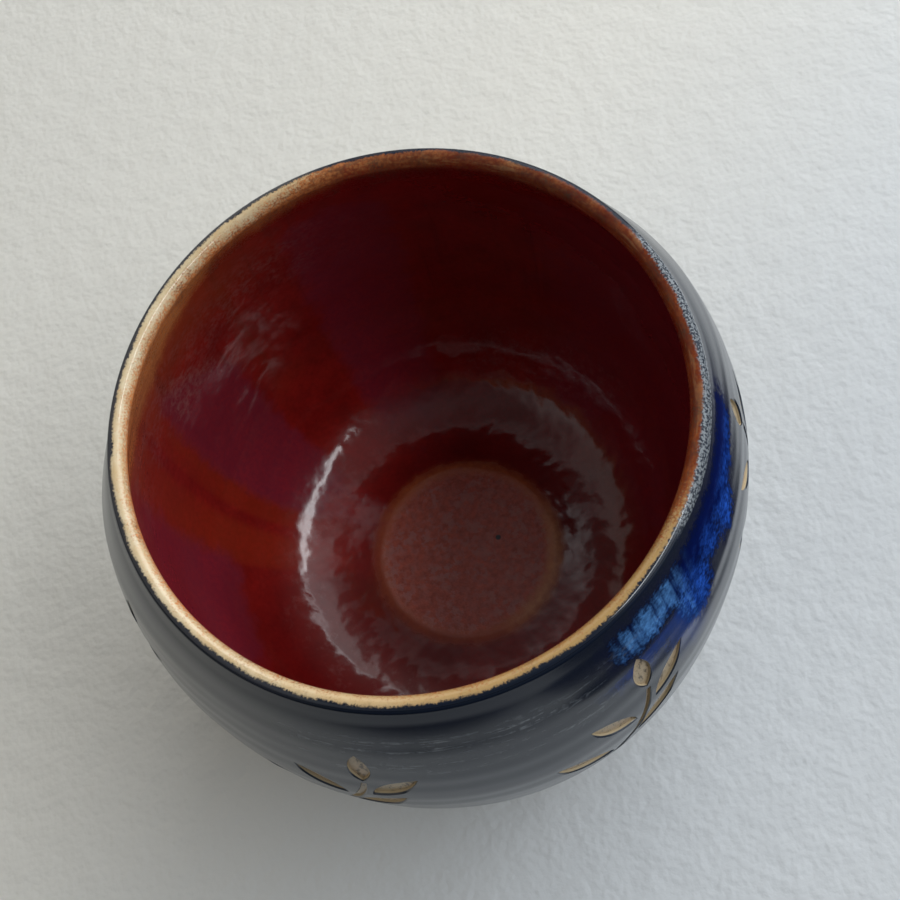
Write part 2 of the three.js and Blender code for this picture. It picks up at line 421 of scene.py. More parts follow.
def turned(name, line, steps):
    """A profile that is extruded point by point and spun round the cup's axis."""
    bpy.ops.object.select_all(action="DESELECT")
    bpy.ops.mesh.primitive_plane_add(size=MM)
    piece = bpy.context.object
    piece.name = name
    piece.data.name = name
    bpy.ops.object.mode_set(mode="EDIT")
    bpy.ops.mesh.select_all(action="SELECT")
    bpy.ops.mesh.merge(type="CENTER")
    bpy.ops.transform.translate(value=(line[0].x, 0, line[0].y))
    for before, after in zip(line, line[1:]):
        way = after - before
        bpy.ops.mesh.extrude_region_move(TRANSFORM_OT_translate={"value": (way.x, 0, way.y)})
    bpy.ops.mesh.select_all(action="SELECT")
    bpy.ops.mesh.spin(steps=steps, angle=TURN, center=(0, 0, 0), axis=(0, 0, 1))
    bpy.ops.mesh.select_all(action="SELECT")
    bpy.ops.mesh.remove_doubles(threshold=0.002 * MM)
    bpy.ops.mesh.normals_make_consistent(inside=False)
    bpy.ops.object.mode_set(mode="OBJECT")
    return piece


def coordinates(piece):
    flat = np.zeros(len(piece.data.vertices) * 3)
    piece.data.vertices.foreach_get("co", flat)
    return flat.reshape(-1, 3)


def places(piece):
    """The piece's points as numbers: how far out, which way round in degrees, and how high."""
    x, y, z = coordinates(piece).T
    return np.hypot(x, y), np.degrees(np.arctan2(y, x)) % 360, z


def apart(azimuth, middle):
    """How far azimuths lie from a middle one, in degrees to either side."""
    return (azimuth - middle + 180) % 360 - 180


def store(piece, name, values):
    """Keeps a number for each point of a piece, for its material."""
    kept = piece.data.attributes.new(name, "FLOAT", "POINT")
    kept.data.foreach_set("value", np.asarray(values, dtype=np.float32))


def apply(piece, kind, **settings):
    """Adds a modifier to a piece and applies it."""
    only(piece)
    modifier = piece.modifiers.new(kind.title(), kind)
    for name, value in settings.items():
        setattr(modifier, name, value)
    bpy.ops.object.modifier_apply(modifier=modifier.name)


def weigh(piece, name, weights):
    """Makes a vertex group from a weight for each point, in steps of a tenth."""
    group = piece.vertex_groups.new(name=name)
    tenths = np.rint(np.asarray(weights) * 10).astype(int)
    for tenth in range(1, 11):
        group.add(np.flatnonzero(tenths == tenth).tolist(), tenth / 10, "REPLACE")
    return group


def roughen(piece, name, weights, size, depth):
    """Moves a piece's face in and out by a cloudy pattern of one size."""
    texture = bpy.data.textures.new(name, "CLOUDS")
    texture.noise_scale = size
    texture.noise_depth = 2
    group = weigh(piece, name, weights)
    apply(
        piece, "DISPLACE", texture=texture, texture_coords="LOCAL", direction="NORMAL",
        mid_level=0.5, strength=depth, vertex_group=group.name,
    )
    piece.vertex_groups.remove(piece.vertex_groups[name])


def seated(piece, node, material):
    """Finishes a piece: its material, its smooth faces, and the part of the frame that it stands for."""
    leave_round(piece)
    only(piece)
    piece.data.materials.clear()
    piece.data.materials.append(material)
    bpy.ops.object.shade_smooth_by_angle(angle=SHARP_ANGLE)
    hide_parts(node)
    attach(piece, BODY)


# Carving

STEM_BOW = 2.6 * MM
STEM_LEAN = 8 * MM
LEAF_LENGTH = 12 * MM
LEAF_WIDTH = 4 * MM
LEAF_GAP = 0.9 * MM
LEAF_TURN = math.radians(44)
TIP_LENGTH = 8 * MM
TIP_WIDTH = 2.8 * MM
FIRST_PAIR = 2.7 * MM
PAIR_STEP = 9.2 * MM
PAIR_SHRINK = 0.78
STAGGER = 1.9 * MM


def stem_point(height):
    """The stem's middle line at a height over the spray's foot."""
    part = height / coats().spray_height
    return Vector((STEM_BOW * math.sin(part * math.pi) + STEM_LEAN * (part - 0.5), height))


def stem_outline(top, steps=14):
    left = []
    right = []
    for step in range(steps + 1):
        part = step / steps
        middle = stem_point(top * part)
        half = (1.6 - part) * MM / 2
        left.append(middle - Vector((half, 0)))
        right.append(middle + Vector((half, 0)))
    return right + left[::-1]


def leaf_outline(start, angle, size, width, steps=11):
    """A pointed leaf from a place along an angle, fullest a little before its middle."""
    way = Vector((math.cos(angle), math.sin(angle)))
    across = Vector((-way.y, way.x)) * width
    tip = start + way * size
    fullest = start + way * size * 0.45
    outline = []
    for begin, bend, end in ((start, fullest - across, tip), (tip, fullest + across, start)):
        for step in range(steps):
            t = step / steps
            outline.append(begin * (1 - t) ** 2 + bend * 2 * t * (1 - t) + end * t * t)
    return outline


def spray_outlines():
    """One leaf spray over its foot: a bowed stem, two pairs of leaves and a tip leaf."""
    stem_top = coats().spray_height - TIP_LENGTH - LEAF_GAP
    stem_half = 0.8 * MM
    outlines = [stem_outline(stem_top)]
    for pair in range(2):
        size = PAIR_SHRINK ** pair
        for side in (-1, 1):
            start = stem_point(FIRST_PAIR + PAIR_STEP * pair + (STAGGER if side > 0 else 0))
            start.x += side * (LEAF_GAP + stem_half)
            angle = UP - side * LEAF_TURN
            outlines.append(leaf_outline(start, angle, LEAF_LENGTH * size, LEAF_WIDTH * size))
    tip_start = stem_point(stem_top) + Vector((0, LEAF_GAP))
    outlines.append(leaf_outline(tip_start, UP, TIP_LENGTH, TIP_WIDTH))
    return outlines


def bezier(start, bend_out, bend_in, end, steps):
    points = []
    for step in range(steps):
        t = step / steps
        u = 1 - t
        points.append(
            start * u ** 3 + bend_out * 3 * u * u * t + bend_in * 3 * u * t * t + end * t ** 3
        )
    return points


# The pour's lobes from left to right: width and length
POUR_LOBES = ((7 * MM, 13 * MM), (5 * MM, 5 * MM), (6 * MM, 9 * MM))


def pour_outline():
    """The pour's outline from its top middle: a band with round ends and lobes that run down."""
    c = coats()
    half = c.pour_width / 2
    low = -c.pour_height
    corner = c.pour_height / 2

    def round_end(side, begin, end):
        inner, outer = side * (half - corner), side * half
        return bezier(
            Vector((inner, begin)), Vector((outer, begin)), Vector((outer, end)), Vector((inner, end)),
            steps=16,
        )

    points = round_end(-1, 0, low)
    left = -sum(width for width, _ in POUR_LOBES) / 2
    for width, drop in POUR_LOBES:
        start = Vector((left, low))
        end = Vector((left + width, low))
        down = Vector((0, -drop))
        points += bezier(start, start + down, end + down, end, steps=14)
        left += width
    points += round_end(1, low, 0)
    steps = 20
    return points + [Vector((half - corner, 0)) * (1 - 2 * k / steps) for k in range(steps)]


def swollen(outline, amount):
    """An outline that runs counter-clockwise, grown by an amount on every side."""
    count = len(outline)
    grown = []
    for index, point in enumerate(outline):
        way = (outline[(index + 1) % count] - outline[index - 1]).normalized()
        grown.append(point + Vector((way.y, -way.x)) * amount)
    return grown


def signed_area(outline):
    return sum(a.x * b.y - b.x * a.y for a, b in zip(outline, outline[1:] + outline[:1])) / 2


def on_wall(point, depth, azimuth):
    """Lays a point of a flat outline on the cup's side, at a depth over the clay."""
    wall = outside_wall()
    height = min(point.y, lip_base())
    radius = wall_radius(height, wall)
    nudge = 0.1 * MM
    below = wall_radius(height - nudge, wall)
    above = wall_radius(min(height, lip_base() - 2 * nudge) + nudge, wall)
    turn = azimuth + math.asin(max(-1, min(1, point.x / radius)))
    out = Vector((1, (below - above) / (2 * nudge))).normalized() * depth
    return (
        (radius + out.x) * math.cos(turn),
        (radius + out.x) * math.sin(turn),
        height + out.y,
    )


# How a cut opens towards the coat's face: pairs of a depth over the clay, and how much wider the
# cut is there, in millimetres
CUT_FLARE = ((-0.8, 0), (0, 0), (0.30, 0.03), (0.44, 0.10), (0.56, 0.24), (1.6, 0.9))
STRAIGHT = ((-0.8, 0), (1.6, 0))


def cutter(outline, azimuth, foot, flare):
    """Points and faces of one solid that stands on an outline laid on the cup's side."""
    if signed_area(outline) < 0:
        outline = outline[::-1]
    raised = [point + Vector((0, foot)) for point in outline]
    count = len(outline)
    points = []
    for depth, wider in flare:
        points += [on_wall(point, depth * MM, azimuth) for point in swollen(raised, wider * MM)]
    faces = [tuple(range(count))[::-1], tuple(range(len(points) - count, len(points)))]
    for level in range(len(flare) - 1):
        for index in range(count):
            after = (index + 1) % count
            low = level * count
            high = low + count
            faces.append((low + index, low + after, high + after, high + index))
    return points, faces


def cutting_tool(name, cuts):
    """One object from several cutters."""
    points = []
    faces = []
    for cut_points, cut_faces in cuts:
        start = len(points)
        points += cut_points
        faces += [tuple(start + index for index in face) for face in cut_faces]
    mesh = bpy.data.meshes.new(name)
    mesh.from_pydata(points, [], faces)
    tool = bpy.data.objects.new(name, mesh)
    bpy.context.collection.objects.link(tool)
    only(tool)
    bpy.ops.object.mode_set(mode="EDIT")
    bpy.ops.mesh.select_all(action="SELECT")
    bpy.ops.mesh.quads_convert_to_tris()
    bpy.ops.mesh.normals_make_consistent(inside=False)
    bpy.ops.object.mode_set(mode="OBJECT")
    return tool


def carve(piece, tool, operation):
    """Cuts a piece with a tool, or keeps what lies inside the tool, and takes the tool away."""
    apply(piece, "BOOLEAN", object=tool, operation=operation, solver="MANIFOLD")
    bpy.data.objects.remove(tool, do_unlink=True)


def spray_cuts():
    c = coats()
    outlines = spray_outlines()
    foot = c.spray_top - c.spray_height
    cuts = []
    for index in range(c.sprays):
        azimuth = c.first_spray + TURN * index / c.sprays
        cuts += [cutter(outline, azimuth, foot, CUT_FLARE) for outline in outlines]
    return cuts


def pour_cut():
    c = coats()
    return [cutter(pour_outline(), c.pour_azimuth, c.pour_top, STRAIGHT)]


# Shader nodes

class Mask:
    """A number that changes over the surface, taken from a node, with the usual arithmetic."""

    def __init__(self, board, socket):
        self.board = board
        self.socket = socket

    def __add__(self, other):
        return self.board.math("ADD", self, other)

    def __sub__(self, other):
        return self.board.math("SUBTRACT", self, other)

    def __rsub__(self, other):
        return self.board.math("SUBTRACT", other, self)

    def __mul__(self, other):
        return self.board.math("MULTIPLY", self, other)

    def __truediv__(self, other):
        return self.board.math("DIVIDE", self, other)

    def __rtruediv__(self, other):
        return self.board.math("DIVIDE", other, self)

    __radd__ = __add__
    __rmul__ = __mul__

    def most(self, other):
        return self.board.math("MAXIMUM", self, other)

    def least(self, other):
        return self.board.math("MINIMUM", self, other)

    def ramp(self, low, high, low_result=0, high_result=1):
        """A smooth step from one result to another."""
        feeds = {0: self, 1: low, 2: high, 3: low_result, 4: high_result}
        made = self.board.put("ShaderNodeMapRange", feeds, interpolation_type="SMOOTHSTEP")
        return Mask(self.board, made.outputs[0])

    def fall(self, low, high):
        """1 under a low value, 0 over a high one and a smooth step between them."""
        return self.ramp(low, high, 1, 0)

    def hump(self, middle, half):
        """1 at the middle, falling smoothly to 0 at half a width to each side."""
        return self.board.math("ABSOLUTE", self - middle).fall(0, half)

    def shaken(self, noise, amount):
        """Moved up and down with a noise, by half the amount each way at most."""
        return self + (noise - 0.5) * amount


class Board:
    """A tree of shader nodes, with short ways to add and join them."""

    def __init__(self, tree):
        self.tree = tree
        tree.nodes.clear()

    def put(self, kind, feeds=None, **settings):
        """Adds a node, sets its settings, and feeds its inputs with values or with other outputs."""
        made = self.tree.nodes.new(kind)
        for name, value in settings.items():
            setattr(made, name, value)
        for key, value in (feeds or {}).items():
            self.feed(made.inputs[key], value)
        return made

    def feed(self, socket, value):
        """Joins an input to a mask or another output, or sets it. A name is one of the cup's colours."""
        if isinstance(value, Mask):
            value = value.socket
        if isinstance(value, bpy.types.NodeSocket):
            self.tree.links.new(value, socket)
        else:
            socket.default_value = paint(value) if isinstance(value, str) else value

    def math(self, operation, first, second=0):
        made = self.put("ShaderNodeMath", {0: first, 1: second}, operation=operation)
        return Mask(self, made.outputs[0])

    def mix(self, part, first, second):
        """A colour that goes from the first to the second as the part goes from 0 to 1."""
        return self.put("ShaderNodeMix", {0: part, 6: first, 7: second}, data_type="RGBA").outputs[2]

    def vector(self, x, y, z):
        return self.put("ShaderNodeCombineXYZ", {0: x, 1: y, 2: z}).outputs[0]

    def millimetres(self):
        """The place on the piece in millimetres."""
        place = self.put("ShaderNodeTexCoord").outputs["Object"]
        made = self.put("ShaderNodeVectorMath", {0: place, "Scale": 1 / MM}, operation="SCALE")
        return made.outputs[0]

    def noise(self, scale, detail=3, roughness=0.55, place=None):
        """A cloudy mask. Without a place it is that on the piece, in millimetres."""
        feeds = {
            "Vector": self.millimetres() if place is None else place, "Scale": scale, "Detail": detail,
            "Roughness": roughness,
        }
        return Mask(self, self.put("ShaderNodeTexNoise", feeds).outputs["Fac"])

    def attribute(self, name):
        return Mask(self, self.put("ShaderNodeAttribute", attribute_name=name).outputs["Fac"])

    def parts(self, vector):
        return [Mask(self, each) for each in self.put("ShaderNodeSeparateXYZ", {0: vector}).outputs]

    def distance(self, x, y):
        return self.math("SQRT", x * x + y * y)

    def place(self):
        """Distance from the cup's axis and height, in millimetres."""
        x, y, z = self.parts(self.millimetres())
        return self.distance(x, y), z

    def side(self, side, low_result=0, high_result=1):
        """A smooth step from one result to another towards one of the cup's sides."""
        x, y, _ = self.parts(self.millimetres())
        angle = math.radians(side.azimuth)
        ahead = x * math.cos(angle) + y * math.sin(angle)
        facing = ahead / self.distance(x, y).most(0.01)
        return facing.ramp(side.start, side.full, low_result, high_result)


class Coat(Board):
    """The nodes of a material, round its Principled shader."""

    def __init__(self, name):
        self.material = bpy.data.materials.new(name)
        self.material.use_nodes = True
        super().__init__(self.material.node_tree)
        self.shader = self.put("ShaderNodeBsdfPrincipled")
        self.put("ShaderNodeOutputMaterial", {"Surface": self.shader.outputs[0]})

    def shaded(self, **looks):
        """The material, once the shader's inputs are joined or set."""
        for name, value in looks.items():
            self.feed(self.shader.inputs[name.replace("_", " ")], value)
        return self.material


def node_group(kind, *outputs, **inputs):
    """Makes a node group from a function that draws its outputs, with these inputs and their
    defaults. It is drawn when it is first used."""
    def drawn_by(draw):
        def used(board, **feeds):
            name = draw.__name__.replace("_", " ").capitalize()
            tree = bpy.data.node_groups.get(name) or new_group(name, kind, outputs, inputs, draw)
            made = board.put("ShaderNodeGroup", node_tree=tree)
            for key, value in feeds.items():
                board.feed(made.inputs[key], value)
            masks = [Mask(board, made.outputs[each]) for each in outputs]
            return masks if len(masks) > 1 else masks[0]
        return used
    return drawn_by


def new_group(name, kind, outputs, inputs, draw):
    tree = bpy.data.node_groups.new(name, "ShaderNodeTree")
    b = Board(tree)
    for each, default in inputs.items():
        socket = tree.interface.new_socket(each, in_out="INPUT", socket_type="NodeSocketFloat")
        socket.default_value = default
    for each in outputs:
        tree.interface.new_socket(each, in_out="OUTPUT", socket_type=kind)
    taken = b.put("NodeGroupInput").outputs
    given = b.put("NodeGroupOutput").inputs
    drawn = draw(b, *[Mask(b, taken[each]) for each in inputs])
    for each, value in zip(outputs, drawn):
        b.feed(given[each], value)
    return tree


# Sides of the cup: an azimuth in degrees, and where a look starts and is full, as the cosine of
# the angle from it
Side = namedtuple("Side", "azimuth start full")

RUSTY_LIP = Side(20, 0.05, 0.75)
LONG_RUST = Side(170, 0.55, 0.98)
SHADED_LINER = Side(15, 0.1, 0.9)
# Painted shade: the bowl's floor darker towards the lower left
SHADED_BOWL_FLOOR = Side(205, 0.60, 0.95)
WARM_WALL = Side(160, 0.30, 0.90)
SPOTTED_WALL = Side(130, 0.50, 0.95)
# Painted highlight: the ridge round the pad paler on the side that faces the light
LIT_RIDGE_SIDE = Side(318, 0.55, 0.95)
FADED_RIDGE = Side(195, -0.2, 0.9)
# Painted reflection: the milky ring round the bowl's floor, where the glaze mirrors the room
PAINTED_REFLECTION_RING = Side(200, -0.4, 1.0)
PALE_RUST = Side(100, -0.2, 0.6)
# Partly painted light: brighter rust towards the left
LIT_COPPER_RUST = Side(150, 0.0, 0.8)
GRAINY_RUST = Side(20, -0.6, 0.2)
SHADED_RUST = Side(12, 0.10, 0.90)
PALE_LIP = Side(160, -0.2, 0.8)
GOLDEN_LIP = Side(300, 0.45, 0.95)
GLOWING_POUR = Side(300, 0.58, 0.84)
STREAKED_POUR = Side(286, 0.93, 0.99)
FLECKED_COAT = Side(256, 0.70, 0.92)
# Painted highlight: glints on the black coat's edge, on the side that faces the light
GLINTING_EDGE = Side(340, 0.80, 0.985)

# Bends light as a glaze does
GLASS = 1.52


@node_group("NodeSocketFloat", "Mask", Width=6, Length=60, Shift=0, Detail=3)
def drips(b, width, down, shift, detail):
    """A cloudy mask drawn out down the cup's side, as glaze runs in the kiln."""
    x, y, z = b.parts(b.millimetres())
    around = 40 / (b.distance(x, y).most(0.01) * width)
    return [b.noise(1, detail, 0.6, b.vector(x * around, y * around, z / down + shift))]


@node_group("NodeSocketFloat", "Mask", Size=2, Shift=0, Detail=4, Spread=0.15)
def mottle(b, size, shift, detail, spread):
    """An even cloudy mask, as glaze breaks where it cools."""
    moved = {0: b.millimetres(), 1: b.vector(shift, shift, 0)}
    place = b.put("ShaderNodeVectorMath", moved, operation="ADD").outputs[0]
    return [b.noise(1 / size, detail, 0.6, place).ramp(0.5 - spread, 0.5 + spread)]


@node_group("NodeSocketVector", "Normal", Size=1.5, Depth=0.02, Fine=0.3, Grain=0)
def skin(b, size, depth, fine, grain):
    """The normal of a glass coat that is a little uneven, like the peel of an orange."""
    rise = (b.noise(1 / size, 2, 0.5) + b.noise(4 / size, 2, 0.5) * fine) * depth
    height = (rise + b.noise(1.2, 3, 0.6) * grain) * MM
    return [b.put("ShaderNodeBump", {"Strength": 1, "Distance": 1, "Height": height}).outputs[0]]


@node_group("NodeSocketFloat", "Black", "Rust", "Red")
def lip_bands(b):
    """Masks over the lip, from the black outside through cream and rust to the red."""
    s = shape()
    radius, z = b.place()
    base = (s.clay_height - s.lip_round) / MM
    middle = (s.lip_radius - s.lip_thickness / 2) / MM
    angle = b.math("ARCTAN2", z - base, radius - middle)
    over = b.math("MODULO", angle + TURN, TURN).least(math.pi)
    way = (over - 1.35) * 1.6 + (base - z).most(0)
    outside = b.attribute("depth").ramp(-1, -0.6) * z.fall(base, base + 0.1)
    jagged = drips(b, Width=0.5, Length=14, Detail=4)
    wavy = drips(b, Width=9, Length=90, Shift=7, Detail=2)
    grain = mottle(b, Size=0.30, Shift=3, Spread=0.3)
    edge = way.shaken(grain, 0.35) + ((jagged - 0.5) * 0.5).shaken(wavy, 1.2)
    black = edge.fall(0, 0.35).most(outside)
    rusty = b.side(RUSTY_LIP)
    runs = drips(b, Width=2.2, Length=60, Shift=3, Detail=4)
    wide_runs = drips(b, Width=7, Length=60, Shift=5, Detail=3)
    uneven = way.shaken(runs, 2.4).shaken(grain, 2.6)
    cream_end = rusty.ramp(0, 1, 1.9, -1.6)
    rust_end = rusty.ramp(0, 1, 5.5, 3.4).shaken(wide_runs, 5) + b.side(LONG_RUST, 0, 8)
    return [black, (uneven - cream_end).ramp(-1.2, 1.2), (uneven - rust_end).ramp(-3, 2.2)]


# Materials

def red_body(b):
    """Colour of the liner, before the lip's bands are laid over it, and its finest mask."""
    _, z = b.place()
    cloud = mottle(b, Size=7, Shift=4, Spread=0.3)
    fine = mottle(b, Size=0.8, Shift=2, Spread=0.3)
    streaks = drips(b, Width=2.6, Length=80, Detail=4)
    runs = 0.5 + (streaks - 0.5) * z.ramp(24, 40)
    base = b.mix(cloud * 0.5, "red", "dark_red")
    base = b.mix(runs.ramp(0.52, 0.75) * 0.5, base, "dark_red")
    orange = b.attribute("orange").shaken(runs, 1.1)
    base = b.mix(orange.ramp(0.30, 0.95) * (fine * 0.35 + 0.5), base, "orange")
    wobble = b.noise(0.30, 5, 0.6)
    purple = b.attribute("purple").shaken(wobble, 0.9)
    base = b.mix(purple.ramp(0.25, 0.80) * (fine * 0.35 + 0.55), base, "purple")
    base = b.mix(fine * 0.30, base, "dark_red")
    milk = b.attribute("milk").shaken(b.noise(0.9, 5, 0.7), 1.5)
    base = b.mix(milk.ramp(0.45, 1.05) * 0.55, base, "milk")
    base = b.mix(b.side(SHADED_LINER, 0, 0.42), base, "dark_red")
    # Painted shade: dark red low in the bowl, towards the lower left
    base = b.mix(b.side(SHADED_BOWL_FLOOR) * z.fall(18, 34) * 0.55, base, "dark_red")
    base = b.mix(b.side(WARM_WALL) * z.ramp(54, 70) * 0.34, base, "rust")
    spots = mottle(b, Size=0.8, Shift=15, Detail=4, Spread=0.20)
    spotted = b.side(SPOTTED_WALL) * z.hump(61, 16) * wobble.ramp(0.40, 0.62, 0.3, 1)
    return b.mix(spots * spotted * 0.34, base, "milk"), fine


def rust_body(b):
    """Colour of the rust band between the cream and the red, which the lip's coat and the liner
    share, and the mask of its dark grains."""
    fine = mottle(b, Size=0.5, Shift=5, Spread=0.2)
    cloud = mottle(b, Size=3, Shift=8, Spread=0.25)
    coarse = mottle(b, Size=0.42, Shift=21, Detail=3, Spread=0.10)
    pale = b.side(PALE_RUST, 0.03, 0.24)
    rust = b.mix(pale * 0.5 + fine * pale, "rust", "cream")
    # Partly painted light: the rust brighter towards the left
    rust = b.mix(b.side(LIT_COPPER_RUST, 0, 0.70), rust, "copper")
    rust = b.mix(coarse * b.side(GRAINY_RUST, 0.30, 0.50), rust, "dark_red")
    rust = b.mix(b.side(SHADED_RUST) * (0.50 + cloud * 0.35), rust, "dark_red")
    lines = drips(b, Width=5, Length=0.35, Shift=9, Detail=3)
    rust = b.mix(lines.ramp(0.54, 0.64) * 0.16, rust, "cream")
    return b.mix(lines.ramp(0.46, 0.36) * 0.35, rust, "scratch"), coarse


def outside_colour(b):
    """Colour of the outside: black with a painted reflection under the shoulder, the blue pour with
    its soft edge, pale flecks, painted glints on the grains by the lip, and clay on the walls of the
    carving. Also how much of its gloss is lost."""
    _, z = b.place()
    cloud = mottle(b, Size=6, Shift=3, Spread=0.2)
    fine = mottle(b, Size=0.6, Shift=5.5, Spread=0.25)
    base = b.mix(cloud * 0.25, "black", "navy")
    # Painted reflection of the floor: greyer and bluer under the shoulder
    base = b.mix(z.ramp(71, 57), base, "slate")

    runs = drips(b, Width=1.6, Length=16, Shift=4, Detail=4)
    depth = b.attribute("pour").shaken(runs, 4).shaken(fine, 1.6)
    base = b.mix(depth.ramp(-4.5, 0, 0, 0.9), base, "navy")
    wide = mottle(b, Size=2.6, Shift=2.5, Spread=0.14)
    blue = depth.ramp(-1.2, 2)
    glow = (z.fall(65.5, 70.5) * 0.60 + wide * 0.60) * (0.10 + fine)
    glow = glow * z.ramp(69.5, 73.5, 1, 0.03) * b.side(GLOWING_POUR)
    base = b.mix(blue, base, b.mix(glow.least(1), "cobalt", "bright_blue"))
    streaked = b.side(STREAKED_POUR)
    pale = blue * streaked * runs.ramp(0.38, 0.60) * (0.5 + wide * 0.5)
    base = b.mix(pale * (0.50 + fine * 0.65), base, "sky_blue")
    haze = depth.ramp(-8, -1) * (1 - blue) * streaked * z.ramp(68, 66)
    base = b.mix(haze * 0.42, base, "bright_blue")

    flecks = drips(b, Width=7, Length=0.55, Shift=2, Detail=4)
    broken = mottle(b, Size=1.1, Shift=11, Spread=0.12)
    zone = z.hump(70.5, 3.5) + z.hump(65, 3.5) * 0.8
    fleck = flecks.ramp(0.50, 0.62) * broken * zone * b.side(FLECKED_COAT)
    base = b.mix(fleck * 0.55, base, "frost")

    # Painted highlight: glints of light on the grains of the black coat's edge
    grains = mottle(b, Size=0.32, Shift=6, Detail=2, Spread=0.12)
    glinting = b.side(GLINTING_EDGE)
    reach = z - glinting.ramp(0, 1, 78.3, 77.35)
    edge = reach.ramp(-0.15, 0.25) * glinting.ramp(0.02, 0.30)
    base = b.mix(edge * grains.ramp(0, 1, 0.05, 1), base, "frost")

    carved = b.attribute("depth").ramp(0.36, 0.24) * z.fall(72, 73)
    satin = depth.ramp(-3, 1).most(carved).most(z.ramp(71, 76) * 0.38)
    return b.mix(carved, base, "clay"), satin


# Where a bubble left a pinhole in the pad's coat, in millimetres
PINHOLE = (6.1, -0.4)


def liner_material():
    """Red glass: purple patches, runs of orange from the lip, and a brown, thin coat over the pad,
    with painted glints on the pad, a painted highlight on the ridge round it and a painted
    reflection in a ring round the floor.
    """
    b = Coat("Red glass liner")
    base, fine = red_body(b)
    radius, z = b.place()
    pad = shape().pad_radius / MM
    low = z.fall(13, 20)
    base = b.mix(low * radius.ramp(pad + 9, pad + 1) * 0.35, base, "dark_red")
    grain = mottle(b, Size=1.1, Shift=9, Spread=0.25)
    on_pad = low * radius.fall(pad - 1.6, pad - 0.2)
    base = b.mix(on_pad * 0.9, base, b.mix(grain * 0.55, "pad_brown", "dark_red"))
    # Painted highlight: pale glints on the pad's pebbled coat
    painted_glints = mottle(b, Size=1.3, Shift=12, Detail=3, Spread=0.06)
    patchy = b.noise(0.25).ramp(0.40, 0.62, 0.25, 1)
    base = b.mix(on_pad * painted_glints * patchy * 0.62, base, "milk")

    uneven = radius.shaken(b.noise(0.5), 1.6)
    ridge = low * uneven.hump(pad - 0.5, 2.4) * b.side(FADED_RIDGE, 1, 0.45)
    # Painted highlight: cream over the ridge's rust on the side that faces the light
    crest = b.mix(b.side(LIT_RIDGE_SIDE) * 0.55, "rust", "cream")
    base = b.mix(ridge * grain.ramp(0, 1, 0.65, 1), base, crest)
    bowl = z.fall(24, 34)
    # Painted reflection: a ring of milk colour round the floor, where the bowl mirrors the room
    cloudy = b.noise(0.35, 6, 0.7).ramp(0.50, 0.72, 0.35, 1)
    ring = radius.hump(28, 8) * bowl * cloudy * b.side(PAINTED_REFLECTION_RING, 0.30, 0.75)
    base = b.mix(ring * 0.72, base, "milk")
    x, y, _ = b.parts(b.millimetres())
    away = b.distance(x - PINHOLE[0], y - PINHOLE[1])
    base = b.mix(on_pad * away.fall(0.35, 0.6), base, "black")
    _, _, red = lip_bands(b)

    dry = low * uneven.ramp(pad + 1.4, pad + 0.4)
    pebbled = 0.06 + bowl * (1 - on_pad) * 0.30
    grainy = 0.004 + on_pad * 0.10
    return b.shaded(
        Base_Color=b.mix(red, rust_body(b)[0], base),
        Roughness=0.05 + bowl * 0.05 + fine * 0.06 + dry * 0.26,
        Normal=skin(b, Size=7.5, Depth=pebbled, Fine=0.07, Grain=grainy),
        IOR=GLASS,
    )


def rim_material():
    """Cream glass over the lip, which thins to rust and lets the black edge break through."""
    b = Coat("Cream glass lip")
    cloud = mottle(b, Size=3, Shift=8, Spread=0.25)
    golden = b.mix(b.side(GOLDEN_LIP, 0, 0.85), "cream", "golden")
    cream = b.mix((0.3 + cloud * 0.6) * b.side(PALE_LIP), golden, "pale_cream")
    black, rusty, red = lip_bands(b)
    rust, coarse = rust_body(b)
    base = b.mix(red, b.mix(rusty, cream, rust), red_body(b)[0])
    specks = mottle(b, Size=0.30, Shift=14, Detail=2, Spread=0.06)
    peppered = specks * b.noise(0.30).ramp(0.50, 0.70) * rusty.most(0.35)
    base = b.mix(peppered * 0.6, base, "scratch")
    return b.shaded(
        Base_Color=b.mix(black, base, outside_colour(b)[0]),
        Roughness=0.10 + rusty * (0.12 + coarse * 0.10),
        Coat_Weight=(1 - rusty) * 0.9,
        Coat_Roughness=0.06,
        Specular_IOR_Level=0.12,
        Normal=skin(b, Size=0.9, Depth=0.02, Fine=0.5),
        IOR=GLASS,
    )


def outside_material(name):
    """Black and cobalt glass, whose gloss fades in the blue pour and on the clay in the carving."""
    b = Coat(name)
    base, satin = outside_colour(b)
    return b.shaded(
        Base_Color=base,
        Roughness=0.30,
        Coat_Weight=satin.ramp(0, 1, 0.98, 0.04),
        Coat_Roughness=0.17,
        Specular_IOR_Level=0,
        Normal=skin(b, Size=2.4, Depth=0.020, Fine=0.2),
        IOR=GLASS,
    )


def clay_material():
    """Fired clay: bare and matt at the foot, and scraped under a thin gloss where it is carved."""
    b = Coat("Fired clay")
    grog = mottle(b, Size=0.45, Shift=1.5, Spread=0.12)
    cloud = mottle(b, Size=7, Shift=6.5, Spread=0.3)
    x, y, z = b.parts(b.millimetres())
    scratched = b.noise(1.6, 5, 0.7, b.vector(x * 0.9, y * 0.9, z * 0.25))
    base = b.mix(grog * 0.25, "clay", "pale_cream")
    base = b.mix(cloud * 0.25, base, "rust")
    line = coats().glaze_line / MM
    carved = z.ramp(line - 0.2, line + 0.2)
    return b.shaded(
        Base_Color=b.mix(carved * scratched.ramp(0.52, 0.62) * 0.8, base, "scratch"),
        Roughness=0.82 - carved * 0.5,
        Normal=skin(b, Size=0.9, Depth=0.03, Fine=0.6),
    )


